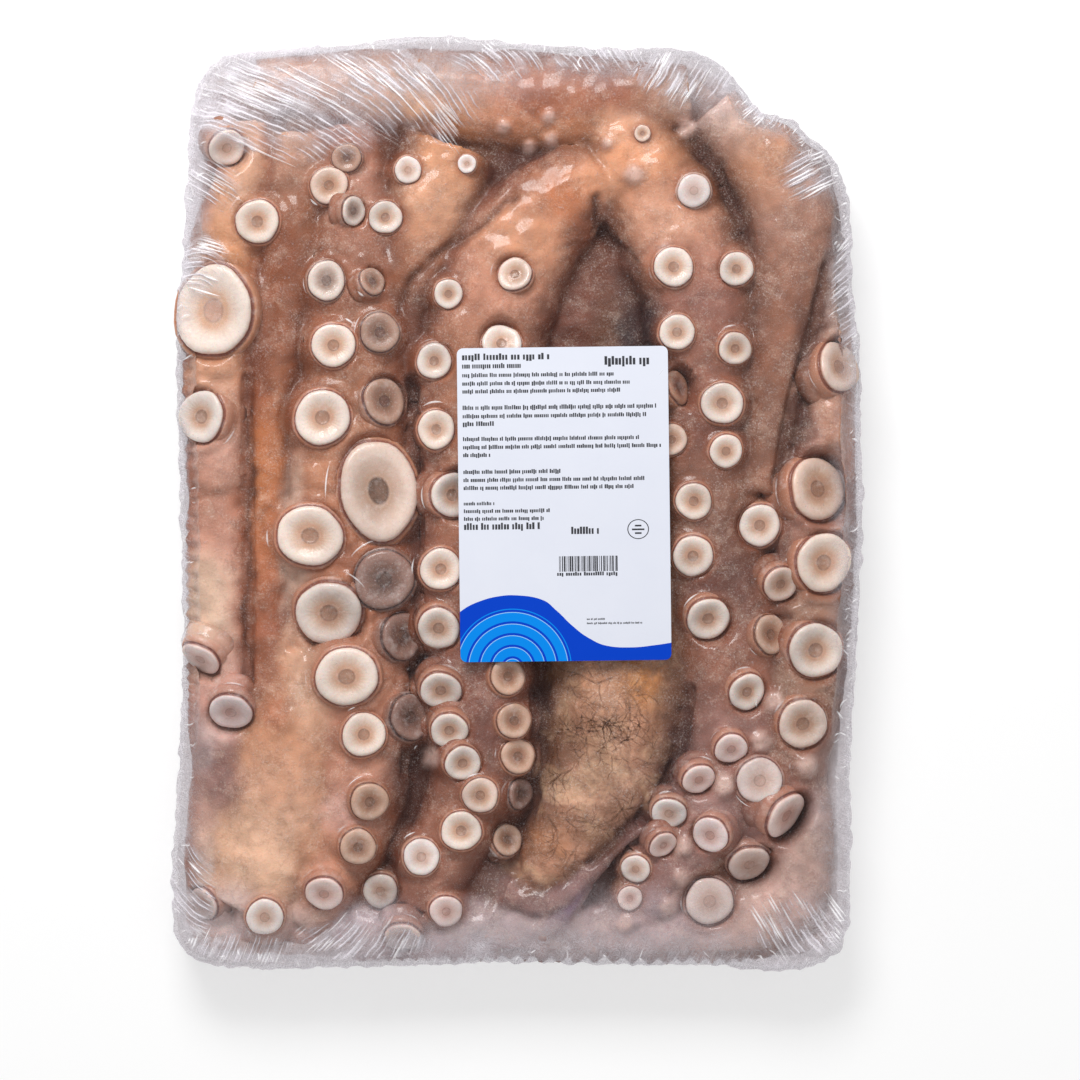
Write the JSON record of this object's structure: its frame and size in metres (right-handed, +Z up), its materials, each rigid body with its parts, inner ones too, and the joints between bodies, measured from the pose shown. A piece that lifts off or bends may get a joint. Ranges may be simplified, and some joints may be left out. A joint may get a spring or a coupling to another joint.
{
  "type": "whole octopus frozen in a wrapped block",
  "caption": "Whole raw octopus folded flat and frozen into a rounded rectangular block, its arms and suckers showing through clear film, with a paper label on top.",
  "frame": {"origin": "middle of the flat underside that the block rests on", "axes": "+Z up out of the labelled side, +Y along the block's length towards the end with the cut corner, +X across it to the right as the label is read"},
  "size_m": [0.3361, 0.4531, 0.0553],
  "materials": {
    "octopus": "moist peach-brown skin and pale suckers under clear glossy film",
    "film": "clear, glossy, finely creased at the edges",
    "label": null
  },
  "bodies": {
    "root": {"wrapped_block": "octopus", "label": "label"}
  },
  "joints": []
}
